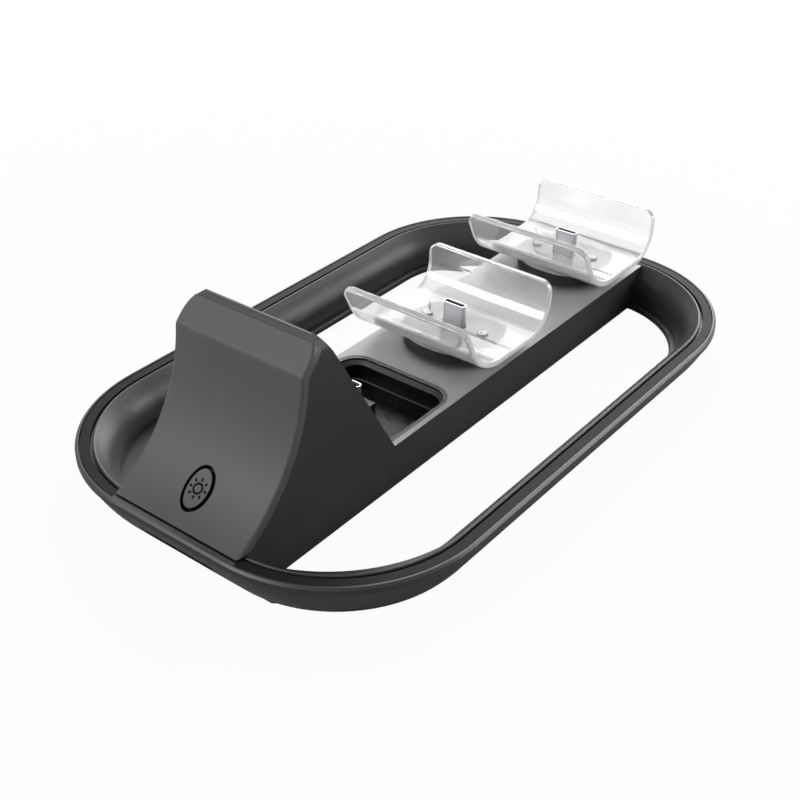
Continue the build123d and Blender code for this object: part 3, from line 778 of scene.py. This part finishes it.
@dataclass
class DeviceSlot:
    """The slot behind the tower with its tray and plug, and the inlet in the front."""

    flange: float = 3.0 * MM
    mouth_inset: float = 1.05 * MM
    mouth_corner: float = 6.6 * MM
    mouth_top: float = 3.3 * MM
    mouth_slope: tuple[tuple[float, float], ...] = ((0.0, 0.0), (1.5 * MM, -1.7 * MM), (0.0, -1.7 * MM))
    ledge_inset: float = 2.35 * MM
    ledge_extra: float = 1.3 * MM
    ledge_corner: float = 4.4 * MM
    ledge_drop: float = 9.9 * MM
    bead_radius: float = 0.28 * MM
    bead_points: int = 10

    def tray_line(self, inset: float, rear_inset: float, corner: float) -> tuple[np.ndarray, np.ndarray]:
        """Gives a line round the tray's sides and rear, and the direction to its inside, as X and Y.

        The line runs back along one side, round a quarter circle, across the rear, round another
        quarter circle and forward again. Each point is its corner's centre plus the radius times the
        outward direction.

        Args:
            inset: How far inside the tray's sides and front the line runs.
            rear_inset: How far inside the tray's rear.
            corner: The radius of its corners.

        Returns:
            The line's points and the inward directions.
        """
        lowest, highest = (np.array(corner_point) for corner_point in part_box("pocket_liner"))
        side = highest[0] - inset - corner
        rear = highest[1] - self.flange - rear_inset - corner
        quarter = np.linspace(0, np.pi / 2, 12)
        angle = np.concatenate([[0.0], quarter, quarter + np.pi / 2, [np.pi]])
        outward = np.stack([np.cos(angle), np.sin(angle)], axis=-1)
        centre = np.stack([np.where(np.arange(angle.size) < angle.size // 2, side, -side),
                           np.full(angle.size, rear)], axis=-1)
        centre[[0, -1], 1] = lowest[1] + inset
        return centre + corner * outward, -outward

    def carry(self, name: str, line: np.ndarray, inward: np.ndarray, section: np.ndarray, finish: Finish
              ) -> bpy.types.Object:
        """Carries a closed section along a level line: each point goes inward by u and up by v.

        Args:
            name: The new piece's name.
            line: The line's points, as X and Y.
            inward: The inward direction at each point.
            section: The section's points, as u and the height v.
            finish: The piece's finish.

        Returns:
            The new piece.
        """
        flat = line[:, None, :] + section[None, :, :1] * inward[:, None, :]
        level = np.broadcast_to(section[None, :, 1:], flat.shape[:2] + (1,))
        points = np.concatenate([flat, level], axis=-1)
        faces = grid_faces(len(line), len(section), False, True)
        first = list(range(len(section)))
        last = [len(section) * (len(line) - 1) + number for number in reversed(first)]
        return new_piece(name, points, faces, finish, Body.DOCK, (first, last))

    def slot_trim(self) -> None:
        """Adds the sloped band inside the slot's mouth and the rounded edge of the tray's step."""
        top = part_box("pocket_liner")[1][2]
        slope = np.array(self.mouth_slope) + np.array([0.0, top - self.mouth_top])
        mouth = self.tray_line(self.mouth_inset, self.mouth_inset, self.mouth_corner)
        self.carry("slot_mouth", *mouth, slope, Finish.SLOT_BAND)
        turn = np.linspace(2 * np.pi, 0, self.bead_points, endpoint=False)
        circle = self.bead_radius * np.stack([np.cos(turn), np.sin(turn)], axis=-1)
        circle = circle + np.array([0.0, top - self.ledge_drop])
        ledge = self.tray_line(self.ledge_inset, self.ledge_inset + self.ledge_extra, self.ledge_corner)
        self.carry("ledge_bead", *ledge, circle, Finish.LEDGE_LINE)

    def dress(self) -> None:
        """Gives the slot's and the inlet's nodes their finishes and rounds the tray's step."""
        self.slot_trim()
        dress(Finish.GLOSS_BLACK, "pocket_liner")
        dress(Finish.PLUG_METAL, "slot_plug_shell", "inlet_shell")
        dress(Finish.PLUG_INSULATOR, "slot_plug_core", "inlet_core")
        Contacts().in_plug("slot_plug_contacts", "slot_plug_core")
        Contacts().on_tongue("inlet_contacts", "inlet_core")


@dataclass
class Cradles:
    """The two clear cradles with their plinths, plugs and pins."""

    def dress(self) -> None:
        """Gives the cradles' nodes their finishes."""
        dress(Finish.CLEAR, "near_cradle", "rear_cradle", "cradle_pins")
        dress(Finish.BLACK_SPINE, "near_plinth", "rear_plinth")
        dress(Finish.PLUG_METAL, "near_plug_shell", "rear_plug_shell")
        dress(Finish.PLUG_INSULATOR, "near_plug_core", "rear_plug_core")
        Contacts().in_plug("near_plug_contacts", "near_plug_core")
        Contacts().in_plug("rear_plug_contacts", "rear_plug_core")


@dataclass
class Softbox:
    """A square area lamp aimed at the dock."""

    name: str
    place: Colour
    side: float
    power: float

    def build(self) -> bpy.types.Object:
        """Makes the lamp, turned towards the dock's middle."""
        lamp = bpy.data.lights.new(self.name, "AREA")
        lamp.size = self.side
        lamp.energy = self.power
        box = bpy.data.objects.new(self.name, lamp)
        box.location = self.place
        box.rotation_euler = (-Vector(self.place)).to_track_quat("-Z", "Y").to_euler()
        bpy.context.scene.collection.objects.link(box)
        return box


@dataclass
class Studio:
    """The pale floor, the white surround and the lamps."""

    floor_half: float = 3.0
    floor_points: int = 13
    floor_colour: Colour = (0.58, 0.58, 0.58)
    near_white: float = 0.96
    fade_start: float = 0.15
    fade_end: float = 0.45
    surround: float = 0.12
    boxes: tuple[Softbox, ...] = (
        Softbox("back_box", (-0.48, 0.96, 0.70), 1.1, 19.0),
        Softbox("front_box", (-0.50, -1.00, 0.80), 0.7, 13.0),
        Softbox("right_box", (0.75, 0.75, 0.40), 0.5, 8.0),
        Softbox("low_box", (-0.05, 1.15, 0.25), 0.5, 3.0),
    )

    def floor(self) -> bpy.types.Object:
        """Lays the floor: a flat grid at height 0, points evenly spread over a square."""
        line = np.linspace(-self.floor_half, self.floor_half, self.floor_points)
        x, y = np.meshgrid(line, line, indexing="ij")
        points = np.stack([x, y, np.zeros_like(x)], axis=-1)
        mesh = bpy.data.meshes.new("floor")
        faces = grid_faces(self.floor_points, self.floor_points, False, False)
        mesh.from_pydata(points.reshape(-1, 3).tolist(), [], faces.tolist())
        mesh.materials.append(self.floor_material())
        floor = bpy.data.objects.new("floor", mesh)
        bpy.context.scene.collection.objects.link(floor)
        return floor

    def seen(self, bench: Bench) -> Value:
        """Gives 1 on rays that show the background straight or through clear parts."""
        straight = bench.add("ShaderNodeLightPath", output="Is Camera Ray")
        through = bench.add("ShaderNodeLightPath", output="Is Transmission Ray")
        return (straight + through).at_most(1.0)

    def mirrored(self, bench: Bench) -> Value:
        """Gives 1 on rays that show the background in a gloss."""
        return bench.add("ShaderNodeLightPath", output="Is Glossy Ray")

    def floor_material(self) -> bpy.types.Material:
        """Builds the floor's material: near-white paper round the dock that fades into plain white.

        In a gloss the paper near the dock shows as it is lit, with the dock's shadow.
        """
        material, bench = open_material()
        material.name = "pale_floor"
        where = bench.coordinates()
        reach = bench.add("ShaderNodeVectorMath", {"operation": "LENGTH"}, {0: where}, output="Value")
        away = bench.ramp(reach, [(self.fade_start, self.near_white), (self.fade_end, 1.0)])
        far = bench.ramp(reach, [(self.fade_start, 0.0), (self.fade_end, 1.0)])
        share = (away * self.seen(bench) + far * self.mirrored(bench)).at_most(1.0)
        paper = bench.add("ShaderNodeBsdfDiffuse", {}, {"Color": paint(self.floor_colour)})
        white = bench.add("ShaderNodeEmission", {}, {"Strength": 1.0})
        mixed = bench.add("ShaderNodeMixShader", {}, {0: share, 1: paper, 2: white})
        bench.add("ShaderNodeOutputMaterial", {}, {"Surface": mixed})
        return material

    def surround_light(self) -> None:
        """Makes the surround: white where it is seen, and a soft fill elsewhere."""
        world = bpy.data.worlds.new("white_surround")
        bpy.context.scene.world = world
        world.use_nodes = True
        bench = Bench(world.node_tree)
        shown = (self.seen(bench) + self.mirrored(bench)).at_most(1.0)
        strength = self.surround + (1.0 - self.surround) * shown
        white = bench.add("ShaderNodeBackground", {}, {"Color": paint((1.0, 1.0, 1.0)), "Strength": strength})
        bench.add("ShaderNodeOutputWorld", {}, {"Surface": white})

    def build(self) -> None:
        """Sets up the floor, the surround and the lamps."""
        self.surround_light()
        lamps = [box.build() for box in self.boxes]
        self.floor()
        bpy.context.scene.view_settings.view_transform = "Standard"


@dataclass
class PhotoCamera:
    """The camera at the photograph's viewing angle."""

    place: Colour = (0.212, -0.278, 0.231)
    forward: Colour = (-0.5174, 0.6552, -0.5505)
    lens: float = 58.5
    sensor: float = 36.0

    def build(self) -> None:
        """Makes the camera: it looks along forward with the horizon level."""
        data = bpy.data.cameras.new("photo_camera")
        data.lens = self.lens
        data.sensor_width = self.sensor
        camera = bpy.data.objects.new("photo_camera", data)
        forward = Vector(self.forward).normalized()
        right = forward.cross(Vector((0, 0, 1))).normalized()
        up = right.cross(forward)
        turn = Matrix((right, up, -forward)).transposed()
        camera.matrix_world = Matrix.Translation(self.place) @ turn.to_4x4()
        bpy.context.scene.collection.objects.link(camera)
        bpy.context.scene.camera = camera


def main() -> None:
    """Builds and dresses the dock, then sets up the studio and the camera."""
    logging.basicConfig(level=logging.INFO, format="%(message)s")
    for assembly in (Ring(), SpineAndTower(), LightButton(), DeviceSlot(), Cradles()):
        assembly.dress()
        log.info("%s done", type(assembly).__name__)
    Studio().build()
    PhotoCamera().build()


if __name__ == "__main__":
    main()
